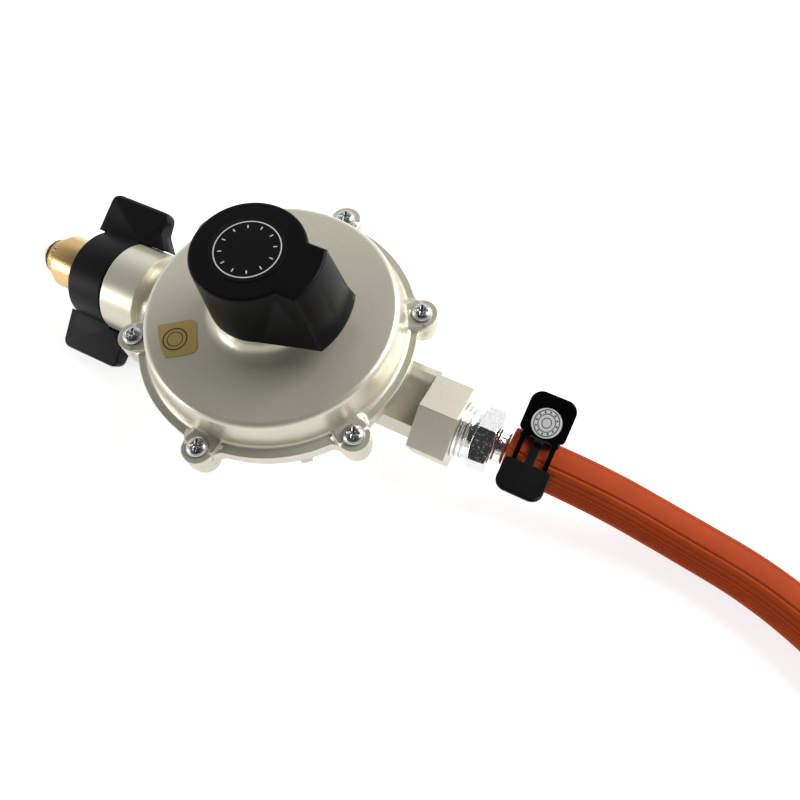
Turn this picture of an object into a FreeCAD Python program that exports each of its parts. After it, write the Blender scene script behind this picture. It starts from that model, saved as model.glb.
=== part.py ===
import FreeCAD, Part
import math
import os
from FreeCAD import Vector

# Low-pressure gas regulator with its hose, in millimetres.
# Z is the spring axis with the back face at Z = 0, and the hose leaves towards +X.

# Pressure body
axis_height = 18.8
flange_width = 3.7
flange_bottom = 34.0
seam = 37.3
flange_top = 40.3
seam_step = 0.4
side_wall = 3.4
chamber_floor = 24.0
bowl_overhang = 0.1
bowl_bottom = 20.5
bowl_slope = 11.5
bowl_slant = 7.0
chamber_wall = 2.0
pad_r = 22.0
pad_relief_r = 17.0
pad_relief_depth = 0.8
rib_angle = 50.0
rib_thickness = 4.0
rib_inset = 1.5
rib_slope = 16.0

# Cover and spring bonnet
shoulder_r = 44.4
shoulder_z = 52.4
side_draft = 2.4
cover_wall = 3.0
crown_rise = 0.9
neck_r = 17.6
neck_top_r = 16.9
bonnet_r = 15.6
bonnet_bore_r = 13.0
shoulder_round = 2.4
foot_round = 1.8
neck_round = 6.0

# Cover screws
screw_count = 6
screw_offset = 1.5
screw_first_angle = 30.0
screw_r = 2.0
screw_end = 31.0
head_r = 3.75
head_height = 2.4
screw_pad_rise = 1.0
screw_pad_inset = 7.0
recess_length = 4.4
recess_width = 0.95
recess_depth = 1.7
ear_r = 5.7
ear_bottom = 30.5
ear_blend = 3.5
cover_hole_gap = 0.2
body_hole_gap = 0.02

# Diaphragm and the pieces that ride on it
diaphragm_lip = 6.2
diaphragm_t = 0.6
clamp_gap = 0.1
bead_margin = 2.6
bead_width = 9.8
bead_height = 2.6
bead_slope = 2.1
plate_margin = 1.6
plate_t = 1.1
plate_rim = 3.2
stem_r = 2.0
stem_top = 50.5
stem_washer_r = 9.0
stem_washer_t = 1.3
eyelet_half_x = 2.0
eyelet_half_y = 4.6
eyelet_height = 6.0
eyelet_window_z = 3.4
eyelet_window_y = 5.2
sliding_gap = 0.05
rest_gap = 0.3
cut_past = 20.0

# Springs
spring_r = 10.4
spring_wire = 1.8
spring_turns = 6.0
seat_depth = 16.6
seat_t = 1.6
relief_spring_r = 3.5
relief_wire = 0.9
relief_turns = 5.0
relief_length = 7.4
nut_flats = 7.0
nut_height = 3.2
adjuster_height = 8.0
adjuster_slot_width = 2.4
adjuster_slot_depth = 3.0
adjuster_hole_r = 3.2
adjuster_recess_r = 8.0
adjuster_recess = 2.4

# Valve and lever
passage_r = 3.5
nozzle_end = 4.0
nozzle_seat = 1.0
nozzle_length = 8.0
orifice_r = 1.2
disc_r = 3.2
disc_t = 1.0
valve_gap = 1.6
plug_r = 4.2
plug_length = 14.7
lever_x = 16.0
lever_height = 29.5
lever_width = 4.4
lever_t = 2.4
lever_heel = 9.0
lever_heel_t = 5.2
lever_tip_t = 2.0
lever_tip_play = 0.9
lever_tip_inset = 0.8
lever_tip_drop = 2.2
lever_tip_floor = 0.8
lever_end_past = 1.5
lever_hub_r = 2.6
lever_pin_r = 1.0
post_width = 3.5
post_length = 6.0
filter_length = 8.0
filter_x = -52.0

# Outlet side
boss_flats = 28.3
boss_start = 58.2
boss_length = 14.5
boss_turn = 14.0
outlet_neck_half = 10.9
outlet_neck_chamfer = 4.0
outlet_ridge_y = 7.0
outlet_ridge_round = 3.0
outlet_foot_y = 3.0
outlet_foot_drop = 2.7
outlet_foot_round = 4.0
outlet_near_y = -8.6
outlet_near_drop = 5.8
outlet_web_reach = 13.6
outlet_web_drop = 5.0
outlet_web_start = 40.0
outlet_thread_r = 10.4
outlet_bore_r = 6.0
outlet_port_x = 33.0
outlet_port_r = 5.0
thread_pitch = 1.8
thread_depth = 0.8
thread_show = 6.3
thread_engaged = 11.7
nipple_flats = 21.4
nipple_hex_length = 7.8
nipple_neck_length = 4.5
nipple_neck_r = 6.2
nipple_bore_r = 3.6
barb_r = 5.2
barb_root_r = 4.6
barb_count = 4
barb_pitch = 6.375
barb_lead = 1.2
hex_turn = 5.0
seal_t = 1.4

# Inlet side
inlet_boss_r = 18.5
inlet_boss_end = -75.0
inlet_barrel_r = 15.5
inlet_step = -60.0
spud_thread_r = 8.0
spud_thread_length = 16.0
spud_r = 6.0
spud_bore_r = 2.6
spud_shoulder_t = 1.4
nose_r = 8.0
nose_collar = 4.0
nose_end = -118.0
stud_r = 11.25
stud_length = 15.0
stud_flange_r = 13.5
stud_flange_t = 3.0
grip_gap = 0.8
grip_hub_r = 18.3
grip_hub_length = 17.0
wing_front = -68.5
wing_back = -95.5
wing_tip_r = 33.5
wing_foot_r = 25.0
wing_flare = 4.0
wing_corner = 3.5
wing_angle = 28.0
wing_root_t = 9.5
wing_tip_t = 5.0
wing_clearance = 0.7
snap_ring_t = 1.0
snap_ring_width = 2.2
snap_ring_gap = 4.0
snap_groove_r = 10.6
snap_groove_width = 1.6

# Vent cap
cap_top = 85.1
cap_height = 23.1
cap_roof = 2.2
cap_top_r = 18.5
cap_bottom_r = 19.0
cap_wall = 1.8
cap_round = 1.0
cap_fit = 0.1
collar_length = 7.0
vent_slot_width = 8.0
vent_slot_depth = 4.0
hood_top_r = 24.0
hood_lip_r = 28.4
hood_mouth_r = 30.6
hood_lip_rise = 4.0
hood_top_half = 10.2
hood_mouth_half = 11.7
gusset_drop = 1.5
gusset_seat = 0.15
label_r = 12.0
label_t = 0.2
plate_label_length = 15.0
plate_label_width = 13.4
plate_label_round = 2.5
plate_label_x = -23.0
plate_label_y = -24.6
plate_label_turn = 35.0

# Hose and clip
hose_r = 8.75
hose_bore_r = 4.75
hose_length = 1000.0
barb_clearance = 0.1
hose_bend_share = 0.45
hose_first_run = 30.2
hose_points = [
    (153.5, 0.0, hose_r),
    (190.0, -5.0, hose_r),
    (226.0, -20.0, hose_r),
    (254.0, -39.6, hose_r),
]
coil_r = 98.0
coil_pitch = 18.4
coil_tail_r = 72.0
coil_tail_turn = 60.0
clip_setback = 9.0
clip_width = 14.0
clip_t = 0.9
clip_fit = 0.3
clip_lean = 5.0
clip_cross_angle = 72.0
clip_tip = 19.5
pad_width = 16.4
pad_root = 5.4
pad_corner = 4.2
tongue_width = 3.2
near_tip = 18.1
near_root = 5.6
window_corner = 1.8
window_width = 9.4
window_out = 4.6
window_in = 7.0
clip_label_r = 5.2
clip_label_along = 9.9
clip_hinge_gap = 0.15
clip_side_clear = 0.6
clip_root_r = 1.5
clip_plate_height = 60.0

AXIS_X = Vector(1, 0, 0)
AXIS_Z = Vector(0, 0, 1)


def save(name, shape):
    """Write one closed solid under its node name."""
    solid = shape if shape.ShapeType == "Solid" else shape.Solids[0]
    if len(shape.Solids) != 1 or not solid.isValid():
        print("check", name, "solids", len(shape.Solids), "valid", shape.isValid())
    solid.exportStep("parts/" + name + ".step")


def turned(profile):
    """Turn a closed (radius, height) outline about Z."""
    points = [Vector(r, 0, z) for r, z in profile]
    face = Part.Face(Part.makePolygon(points + points[:1]))
    return face.revolve(Vector(0, 0, 0), AXIS_Z, 360)


def turned_x(profile):
    """Turn a closed (x, radius) outline about the inlet and outlet axis."""
    points = [Vector(x, 0, axis_height + r) for x, r in profile]
    face = Part.Face(Part.makePolygon(points + points[:1]))
    return face.revolve(Vector(0, 0, axis_height), AXIS_X, 360)


def rod_x(radius, start, end):
    return Part.makeCylinder(radius, end - start, Vector(start, 0, axis_height), AXIS_X)


def rod_z(radius, bottom, top, x=0.0, y=0.0):
    return Part.makeCylinder(radius, top - bottom, Vector(x, y, bottom), AXIS_Z)


def block(x0, x1, y0, y1, z0, z1):
    return Part.makeBox(x1 - x0, y1 - y0, z1 - z0, Vector(x0, y0, z0))


def hex_x(flats, start, end, turn):
    """Hexagonal bar along the outlet axis, a corner at the turn angle from +Y."""
    radius = flats / math.sqrt(3)
    points = []
    for k in range(6):
        a = math.radians(turn + 60 * k)
        points.append(Vector(start, radius * math.cos(a), axis_height + radius * math.sin(a)))
    face = Part.Face(Part.makePolygon(points + points[:1]))
    return face.extrude(Vector(end - start, 0, 0))


def rounded(shape, radius, spots):
    """Round the circular edges about Z that lie at the given (radius, height) spots."""
    edges = []
    for edge in shape.Edges:
        if edge.Curve.TypeId != "Part::GeomCircle":
            continue
        centre = edge.Curve.Center
        for r, z in spots:
            on_axis = math.hypot(centre.x, centre.y) < 0.01
            if on_axis and abs(edge.Curve.Radius - r) < 0.02 and abs(centre.z - z) < 0.02:
                edges.append(edge)
    return shape.makeFillet(radius, edges)


def upright_edges(shape, height):
    return [
        e for e in shape.Edges
        if abs(e.Length - height) < 0.01 and abs(abs(e.tangentAt(e.FirstParameter).z) - 1) < 0.001
    ]


def screw_places():
    for k in range(screw_count):
        a = math.radians(screw_first_angle + 360.0 * k / screw_count)
        yield screw_circle_r * math.cos(a), screw_circle_r * math.sin(a)


def flange_plate(radius, bottom, top):
    """Round flange with its screw ears, the inner corners blended."""
    plate = rod_z(radius, bottom, top)
    for x, y in screw_places():
        plate = plate.fuse(rod_z(ear_r, bottom, top, x, y))
    plate = plate.removeSplitter()
    return plate.makeFillet(ear_blend, upright_edges(plate, top - bottom))


def spring(radius, wire, bottom, top, turns):
    """Round wire wound about Z between two heights."""
    rise = top - bottom - wire
    helix = Part.makeHelix(rise / turns, rise, radius)
    helix.translate(Vector(0, 0, bottom + wire / 2))
    ring = Part.Circle(Vector(radius, 0, bottom + wire / 2), Vector(0, 1, 0), wire / 2)
    profile = Part.Wire([ring.toShape()])
    return Part.Wire(helix.Edges).makePipeShell([profile], True, True)


# Radii, heights and lengths that follow from the sizes above
chamber_r = shoulder_r - side_wall
side_foot_r = shoulder_r + side_draft
flange_r = side_foot_r + flange_width
screw_circle_r = flange_r + screw_offset
bowl_r = shoulder_r + bowl_overhang
bowl_low_r = bowl_r - bowl_slope
bowl_lean = bowl_slope / bowl_slant
chamber_foot_r = (bowl_low_r + bowl_lean * (chamber_floor - bowl_bottom)
                  - chamber_wall * math.hypot(1, bowl_lean))
chamber_side_z = chamber_floor + (chamber_r - chamber_foot_r) / bowl_lean
rib_reach = flange_r - rib_inset
diaphragm_r = chamber_r + diaphragm_lip
bead_outer_r = chamber_r - bead_margin
bead_inner_r = bead_outer_r - bead_width
plate_r = bead_inner_r - plate_margin
cap_bottom = cap_top - cap_height
cap_inside_top = cap_top - cap_roof
bonnet_top = cap_inside_top - rest_gap
seat_z = bonnet_top - seat_depth
hood_lip_z = cap_bottom + hood_lip_rise
neck_top = cap_bottom - rest_gap
boss_end = boss_start + boss_length
thread_end = boss_end + thread_show
nipple_hex_end = thread_end + nipple_hex_length
hose_start = nipple_hex_end + nipple_neck_length
clip_x = hose_start + clip_setback
pad_top = flange_top + screw_pad_rise
diaphragm_bottom = seam - clamp_gap - diaphragm_t
diaphragm_top = seam - clamp_gap
plate_bottom = diaphragm_top + sliding_gap
plate_top = plate_bottom + plate_t
washer_top = diaphragm_bottom - sliding_gap
eyelet_middle = lever_height
eyelet_bottom = eyelet_middle - eyelet_height / 2
eyelet_top = eyelet_middle + eyelet_height / 2
disc_start = nozzle_end + valve_gap
plug_start = disc_start + disc_t
plug_end = plug_start + plug_length
plug_bore_r = plug_r + sliding_gap
slot_start = nozzle_seat
slot_end = plug_end + rest_gap
spud_end = inlet_boss_end + spud_thread_length
grip_front = inlet_boss_end - grip_gap
grip_back = grip_front - grip_hub_length
stud_end = grip_back - stud_length
nose_back = stud_end - rest_gap
hub_bore_r = stud_flange_r - 2.0
adjuster_bottom = seat_z + seat_t + sliding_gap
nipple_inner = boss_end - thread_engaged
barb_start = hose_start + barb_lead
barb_end = barb_start + barb_count * barb_pitch


def make_lower_body():
    # Bowl, flange and ears
    bowl = turned([
        (0, bowl_bottom), (bowl_low_r, bowl_bottom), (bowl_r, bowl_bottom + bowl_slant),
        (bowl_r, seam), (0, seam),
    ])
    body = bowl.fuse(flange_plate(flange_r - seam_step, flange_bottom, seam))
    for x, y in screw_places():
        body = body.fuse(rod_z(ear_r - 0.6, ear_bottom, flange_bottom + 1, x, y))
    # Back pad and the webs that stiffen the bowl
    body = body.fuse(rod_z(pad_r, 0, bowl_bottom + 1))
    for angle in (rib_angle, 180 - rib_angle, 180 + rib_angle, -rib_angle):
        web = block(0, rib_reach, -rib_thickness / 2, rib_thickness / 2, bowl_bottom, flange_bottom + 1)
        cut = block(0, rib_reach + cut_past, -rib_thickness, rib_thickness, -cut_past, 0)
        cut.rotate(Vector(0, 0, 0), Vector(0, 1, 0), -rib_slope)
        cut.translate(Vector(pad_r, 0, bowl_bottom))
        web = web.cut(cut)
        web.rotate(Vector(0, 0, 0), AXIS_Z, angle)
        body = body.fuse(web)
    # Inlet and outlet barrels
    body = body.fuse(rod_x(inlet_barrel_r, inlet_step - 1, 0))
    body = body.fuse(rod_x(inlet_boss_r, inlet_boss_end, inlet_step))
    body = body.fuse(make_outlet_neck())
    body = body.fuse(hex_x(boss_flats, boss_start, boss_end, boss_turn + 30))
    # Diaphragm chamber with its clamping face. Its side leans like the bowl's, one wall inside it
    body = body.cut(rod_z(diaphragm_r + clamp_gap, diaphragm_bottom - clamp_gap / 2, seam + 1))
    chamber = turned([
        (0, chamber_floor), (chamber_foot_r, chamber_floor), (chamber_r, chamber_side_z),
        (chamber_r, seam + 1), (0, seam + 1),
    ])
    body = body.cut(chamber)
    body = body.cut(rod_z(pad_relief_r, -1, pad_relief_depth))
    # Lever posts on the chamber floor
    for side in (-1, 1):
        inner = lever_width / 2 + rest_gap
        low, high = sorted((side * inner, side * (inner + post_width)))
        post = block(lever_x - post_length / 2, lever_x + post_length / 2, low, high,
                     chamber_floor - 1, lever_height + 2.2)
        body = body.fuse(post)
    pin_hole = Part.makeCylinder(lever_pin_r + body_hole_gap, 40, Vector(lever_x, -20, lever_height),
                                 Vector(0, 1, 0))
    body = body.cut(pin_hole)
    # Inlet passage, valve slot, outlet port and outlet thread
    body = body.cut(rod_x(spud_thread_r + body_hole_gap, inlet_boss_end - 1, spud_end))
    body = body.cut(rod_x(passage_r + body_hole_gap, spud_end - 1, slot_start + 1))
    body = body.cut(rod_x(plug_bore_r, slot_start, slot_end))
    body = body.cut(block(slot_start, slot_end, -plug_bore_r, plug_bore_r, axis_height,
                          chamber_floor + 1))
    body = body.cut(rod_z(outlet_port_r, axis_height, chamber_floor + 1, outlet_port_x))
    body = body.cut(rod_x(outlet_bore_r, outlet_port_x - outlet_port_r, boss_end))
    body = body.cut(rod_x(outlet_thread_r + sliding_gap, nipple_inner - seal_t, boss_end + 1))
    # Screw holes
    for x, y in screw_places():
        body = body.cut(rod_z(screw_r + body_hole_gap, screw_end - 1.5, seam + 1, x, y))
    return body.removeSplitter()


def make_outlet_neck():
    """Neck between the bowl and the boss. A ridge runs along its far side, with a web past it, and
    its top steps down from the ridge and leans towards the near side."""
    half = outlet_neck_half
    top = axis_height + half
    section = [
        Vector(0, half, top), Vector(0, outlet_ridge_y, top), Vector(0, outlet_foot_y, top - outlet_foot_drop),
        Vector(0, outlet_near_y, top - outlet_near_drop), Vector(0, outlet_near_y, axis_height - half),
        Vector(0, half, axis_height - half),
    ]
    neck = Part.Face(Part.makePolygon(section + section[:1])).extrude(Vector(boss_start + 1, 0, 0))

    def long_edges(shape, y, z):
        return [e for e in shape.Edges
                if abs(e.tangentAt(e.FirstParameter).x) > 0.99
                and abs(e.CenterOfMass.y - y) < 0.01 and abs(e.CenterOfMass.z - z) < 0.01]

    low = long_edges(neck, half, axis_height - half) + long_edges(neck, outlet_near_y, axis_height - half)
    neck = neck.makeFillet(outlet_neck_chamfer, low)
    neck = neck.makeFillet(outlet_ridge_round, long_edges(neck, outlet_ridge_y, top))
    neck = neck.makeFillet(outlet_foot_round, long_edges(neck, outlet_foot_y, top - outlet_foot_drop))
    points = [
        Vector(outlet_web_start, half - 1, top), Vector(outlet_web_start, outlet_web_reach, top - 1.0),
        Vector(outlet_web_start, outlet_web_reach, top - 2.0),
        Vector(outlet_web_start, half - 1, top - outlet_web_drop),
    ]
    web = Part.Face(Part.makePolygon(points + points[:1]))
    return neck.fuse(web.extrude(Vector(boss_start + 1 - outlet_web_start, 0, 0)))


def screw_pad(x, y):
    """Raised pad under a screw head, running back into the side wall."""
    angle = math.degrees(math.atan2(y, x))
    start = screw_circle_r - screw_pad_inset
    pad = block(start, screw_circle_r, -ear_r, ear_r, seam, pad_top)
    pad.rotate(Vector(0, 0, 0), AXIS_Z, angle)
    return pad.fuse(rod_z(ear_r, seam, pad_top, x, y))


def make_upper_cover():
    crown = shoulder_z + crown_rise
    outside = turned([
        (0, seam), (side_foot_r, seam), (side_foot_r, flange_top), (shoulder_r, shoulder_z),
        (neck_r + 7.0, crown), (neck_r, crown), (neck_top_r, neck_top), (bonnet_r, neck_top),
        (bonnet_r, bonnet_top), (0, bonnet_top),
    ])
    outside = rounded(outside, shoulder_round, [(shoulder_r, shoulder_z)])
    outside = rounded(outside, neck_round, [(neck_r, crown)])
    outside = outside.fuse(flange_plate(flange_r, seam, flange_top))
    outside = rounded(outside.removeSplitter(), foot_round, [(side_foot_r, flange_top)])
    for x, y in screw_places():
        outside = outside.fuse(screw_pad(x, y))
    inside = turned([
        (0, seam - 1), (chamber_r, seam - 1), (chamber_r, flange_top),
        (shoulder_r - cover_wall - 1.0, shoulder_z - cover_wall), (bonnet_bore_r, crown - cover_wall),
        (bonnet_bore_r, bonnet_top + 1), (0, bonnet_top + 1),
    ])
    cover = outside.cut(inside)
    for x, y in screw_places():
        cover = cover.cut(rod_z(screw_r + cover_hole_gap, seam - 1, pad_top + 1, x, y))
    # Breathing notch under the hood of the cap
    return cover.cut(vent_slot(bonnet_top - vent_slot_depth))


def vent_slot(bottom):
    return block(0, bonnet_r + cap_wall, -vent_slot_width / 2, vent_slot_width / 2, bottom,
                 cap_inside_top)


def make_cover_screw(x, y):
    top = pad_top + head_height
    screw = turned([
        (0, screw_end), (screw_r - 0.4, screw_end), (screw_r, screw_end + 0.6), (screw_r, pad_top),
        (head_r, pad_top), (head_r, pad_top + 0.9), (head_r - 0.7, top - 0.6),
        (head_r - 1.8, top - 0.1), (0, top),
    ])
    for turn in (0, 90):
        slot = block(-recess_length / 2, recess_length / 2, -recess_width / 2, recess_width / 2,
                     top - recess_depth, top + 1)
        slot.rotate(Vector(0, 0, 0), AXIS_Z, turn + 20)
        screw = screw.cut(slot)
    screw.translate(Vector(x, y, 0))
    return screw


def make_diaphragm():
    # One raised bead lets the middle move
    low, high = diaphragm_bottom, diaphragm_top
    hole = stem_r + 0.1
    return turned([
        (hole, low), (bead_inner_r + 0.4, low), (bead_inner_r + bead_slope + 0.4, low + bead_height),
        (bead_outer_r - bead_slope - 0.4, low + bead_height), (bead_outer_r - 0.4, low),
        (diaphragm_r, low), (diaphragm_r, high), (bead_outer_r, high),
        (bead_outer_r - bead_slope, high + bead_height), (bead_inner_r + bead_slope, high + bead_height),
        (bead_inner_r, high), (hole, high),
    ])


def make_diaphragm_plate():
    hole = stem_r + sliding_gap
    return turned([
        (hole, plate_bottom), (plate_r, plate_bottom), (plate_r, plate_bottom + plate_rim),
        (plate_r - plate_t, plate_bottom + plate_rim), (plate_r - plate_t, plate_top),
        (hole, plate_top),
    ])


def make_diaphragm_stem():
    rod = rod_z(stem_r, eyelet_top - 1, stem_top)
    washer = rod_z(stem_washer_r, washer_top - stem_washer_t, washer_top)
    eyelet = block(-eyelet_half_x, eyelet_half_x, -eyelet_half_y, eyelet_half_y,
                   eyelet_bottom, eyelet_top)
    window = block(-cut_past, cut_past, -eyelet_window_y / 2, eyelet_window_y / 2,
                   eyelet_middle - eyelet_window_z / 2, eyelet_middle + eyelet_window_z / 2)
    return rod.fuse(washer).fuse(eyelet).cut(window)


def make_relief_nut():
    bottom = plate_top + relief_length + sliding_gap
    radius = nut_flats / math.sqrt(3)
    points = [
        Vector(radius * math.cos(math.radians(60 * k)), radius * math.sin(math.radians(60 * k)), bottom)
        for k in range(6)
    ]
    nut = Part.Face(Part.makePolygon(points + points[:1])).extrude(Vector(0, 0, nut_height))
    return nut.cut(rod_z(stem_r + body_hole_gap, bottom - 1, bottom + nut_height + 1))


def make_spring_seat():
    radius = bonnet_bore_r - rest_gap
    return turned([
        (3.0, seat_z), (spring_r - spring_wire, seat_z - 1.6), (spring_r - spring_wire, seat_z),
        (radius, seat_z), (radius, seat_z + seat_t), (3.0, seat_z + seat_t),
    ])


def make_spring_adjuster():
    radius = bonnet_bore_r - sliding_gap
    top = adjuster_bottom + adjuster_height
    plug = turned([
        (adjuster_hole_r, adjuster_bottom), (radius, adjuster_bottom), (radius, top),
        (adjuster_recess_r, top), (adjuster_recess_r, top - adjuster_recess),
        (adjuster_hole_r, top - adjuster_recess),
    ])
    slot = block(-cut_past, cut_past, -adjuster_slot_width / 2, adjuster_slot_width / 2,
                 top - adjuster_slot_depth, top + 1)
    return plug.cut(slot)


def hood_solid(inset, low):
    """Hood that flares from the cap towards +X, drawn in by a wall thickness."""
    top = cap_top if inset == 0 else cap_inside_top
    flare = turned([
        (0, low), (hood_mouth_r - inset, low), (hood_lip_r - inset, hood_lip_z),
        (hood_top_r - inset, top), (0, top),
    ])
    wedge = []
    for half, z in ((hood_mouth_half - inset, low), (hood_top_half - inset, top)):
        points = [Vector(0, -half, z), Vector(60, -half, z), Vector(60, half, z), Vector(0, half, z)]
        wedge.append(Part.makePolygon(points + points[:1]))
    return flare.common(Part.makeLoft(wedge, True, True))


def hood_gusset(side):
    """Three-sided face from the round cap to the hood's mouth corner, rising to their joint."""
    low_r, low_half = cap_bottom_r - gusset_seat, hood_mouth_half - gusset_seat
    mouth_r = hood_mouth_r - gusset_seat
    mouth = Vector(math.sqrt(mouth_r ** 2 - low_half ** 2), side * low_half, cap_bottom)
    turn = math.asin(low_half / mouth_r) + math.acos(low_r / mouth_r)
    touch = Vector(low_r * math.cos(turn), side * low_r * math.sin(turn), cap_bottom)
    top_half = hood_top_half - gusset_seat
    top_r = cap_top_r - gusset_seat
    joint = Vector(math.sqrt(top_r ** 2 - top_half ** 2), side * top_half, cap_top - gusset_drop)
    inside = Vector(math.sqrt(low_r ** 2 - low_half ** 2), side * (low_half - cap_wall), cap_bottom)
    faces = []
    for corners in ((touch, mouth, joint), (mouth, inside, joint), (inside, touch, joint), (touch, inside, mouth)):
        faces.append(Part.Face(Part.makePolygon(list(corners) + [corners[0]])))
    gusset = Part.makeSolid(Part.makeShell(faces))
    if gusset.Volume < 0:
        gusset.reverse()
    return gusset


def make_vent_cap():
    shell = turned([(0, cap_bottom), (cap_bottom_r, cap_bottom), (cap_top_r, cap_top), (0, cap_top)])
    cap = shell.fuse(hood_solid(0, cap_bottom)).removeSplitter()
    top_edges = [
        e for e in cap.Edges
        if all(abs(v.Z - cap_top) < 0.01 for v in e.Vertexes) and abs(e.CenterOfMass.z - cap_top) < 0.01
    ]
    cap = cap.makeFillet(cap_round, top_edges)
    cap = cap.fuse(hood_gusset(1)).fuse(hood_gusset(-1))
    inner_r = cap_top_r - cap_wall
    cap = cap.cut(rod_z(inner_r, cap_bottom - 1, cap_inside_top))
    cap = cap.cut(hood_solid(cap_wall, cap_bottom - 0.01))
    collar = rod_z(inner_r + 0.4, bonnet_top - collar_length, cap_inside_top)
    collar = collar.cut(rod_z(bonnet_r + cap_fit, cap_bottom, cap_inside_top + 1))
    collar = collar.cut(vent_slot(bonnet_top - collar_length - 1))
    return cap.fuse(collar).removeSplitter()


def make_cap_label():
    return rod_z(label_r, cap_top, cap_top + label_t)


def make_cover_label():
    # Rounded plate seated on the crown, which climbs a little towards the neck
    z = shoulder_z + crown_rise * 0.5
    plate = block(-plate_label_length / 2, plate_label_length / 2, -plate_label_width / 2,
                  plate_label_width / 2, z, z + 1.0)
    plate = plate.makeFillet(plate_label_round, upright_edges(plate, 1.0))
    plate.rotate(Vector(0, 0, 0), AXIS_Z, plate_label_turn)
    plate.translate(Vector(plate_label_x, plate_label_y, 0))
    crown = shoulder_z + crown_rise
    return plate.common(turned([
        (0, crown + 2), (neck_r + 7.0, crown + label_t), (shoulder_r, shoulder_z + label_t),
        (shoulder_r, shoulder_z), (neck_r + 7.0, crown), (0, crown),
    ]))


def make_lever():
    # Long arm to the stem, short arm down into the valve plug
    half = lever_width / 2
    arm = block(-eyelet_half_x - lever_end_past, lever_x, -half, half, lever_height - lever_t / 2,
                lever_height + lever_t / 2)
    hub = Part.makeCylinder(lever_hub_r, lever_width, Vector(lever_x, -half, lever_height), Vector(0, 1, 0))
    tip = block(lever_x - lever_tip_t / 2, lever_x + lever_tip_t / 2, -half + lever_tip_inset,
                half - lever_tip_inset, axis_height - lever_tip_drop, lever_height)
    heel = block(lever_x, lever_x + lever_heel, -half, half, lever_height - lever_heel_t / 2,
                 lever_height + lever_heel_t / 2)
    hole = Part.makeCylinder(lever_pin_r + sliding_gap, 2 * lever_width,
                             Vector(lever_x, -lever_width, lever_height), Vector(0, 1, 0))
    return arm.fuse(hub).fuse(heel).fuse(tip).cut(hole).removeSplitter()


def make_lever_pin():
    reach = lever_width / 2 + rest_gap + post_width + 0.6
    return Part.makeCylinder(lever_pin_r, 2 * reach, Vector(lever_x, -reach, lever_height),
                             Vector(0, 1, 0))


def make_valve_plug():
    plug = rod_x(plug_r, plug_start, plug_end)
    half = lever_tip_t / 2 + lever_tip_play
    slot = block(lever_x - half, lever_x + half, -cut_past, cut_past,
                 axis_height - lever_tip_drop - lever_tip_floor, axis_height + cut_past)
    return plug.cut(slot)


def make_inlet_nozzle():
    back = nozzle_end - nozzle_length
    return turned_x([
        (back, orifice_r), (nozzle_end, orifice_r), (nozzle_end, 1.9), (nozzle_seat + 0.2, 2.7),
        (nozzle_seat + 0.2, passage_r), (back, passage_r),
    ])


def make_inlet_filter():
    outer = passage_r - 0.1
    return turned_x([
        (filter_x, 1.4), (filter_x + 1.0, 1.4), (filter_x + filter_length, 0.6),
        (filter_x + filter_length, outer), (filter_x, outer),
    ])


def make_inlet_spud():
    # Fixed tube that the stud turns on, ending in the nose that seals in the cylinder valve
    collar = nose_back - nose_collar
    return turned_x([
        (spud_end - sliding_gap, spud_bore_r), (spud_end - sliding_gap, spud_thread_r),
        (inlet_boss_end, spud_thread_r), (inlet_boss_end - 0.2, spud_thread_r),
        (inlet_boss_end - 0.2, spud_r), (nose_back, spud_r), (nose_back, nose_r), (collar, nose_r),
        (collar, nose_r - 2.2), (collar - 1.8, nose_r - 2.2), (collar - 1.8, nose_r - 0.8),
        (nose_end + 1.5, nose_r - 3.4), (nose_end, nose_r - 4.2), (nose_end, spud_bore_r),
    ])


def make_nose_seal():
    collar = nose_back - nose_collar
    ring = Part.makeTorus(nose_r - 1.35, 0.8, Vector(collar - 0.9, 0, axis_height), AXIS_X)
    return ring


def make_stud_nut():
    # Male union thread with the flange that the grip is moulded round
    bore = spud_r + 0.08
    front = grip_front
    return turned_x([
        (front, bore), (front, stud_flange_r), (front - stud_flange_t, stud_flange_r),
        (front - stud_flange_t, hub_bore_r), (grip_back, hub_bore_r), (grip_back, snap_groove_r),
        (grip_back - snap_groove_width, snap_groove_r), (grip_back - snap_groove_width, stud_r),
        (stud_end + 1.2, stud_r), (stud_end, stud_r - 1.2), (stud_end, bore),
    ])


def make_wing():
    """One finger wing, pointing to +Y from the inlet axis."""
    foot = inlet_boss_r + wing_clearance
    root_r = foot - 4
    profile = [
        Vector(0, root_r, -wing_root_t / 2), Vector(0, wing_tip_r, -wing_tip_t / 2),
        Vector(0, wing_tip_r, wing_tip_t / 2), Vector(0, root_r, wing_root_t / 2),
    ]
    length = wing_front + wing_flare - wing_back
    blade = Part.Face(Part.makePolygon(profile + profile[:1])).extrude(Vector(length, 0, 0))
    tip_edges = [e for e in blade.Edges if abs(e.Length - length) < 0.01 and e.CenterOfMass.y > wing_foot_r]
    blade = blade.makeFillet(0.35 * wing_tip_t, tip_edges)
    blade.translate(Vector(wing_back, 0, 0))
    outline = [
        Vector(wing_back, root_r, -20), Vector(wing_back, wing_tip_r, -20),
        Vector(wing_front, wing_tip_r, -20), Vector(wing_front, wing_foot_r, -20),
        Vector(wing_front + wing_flare, foot, -20), Vector(wing_front + wing_flare, root_r, -20),
    ]
    plan = Part.Face(Part.makePolygon(outline + outline[:1])).extrude(Vector(0, 0, 40))
    corners = [e for e in upright_edges(plan, 40) if e.CenterOfMass.y > foot + 1]
    return blade.common(plan.makeFillet(wing_corner, corners))


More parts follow.
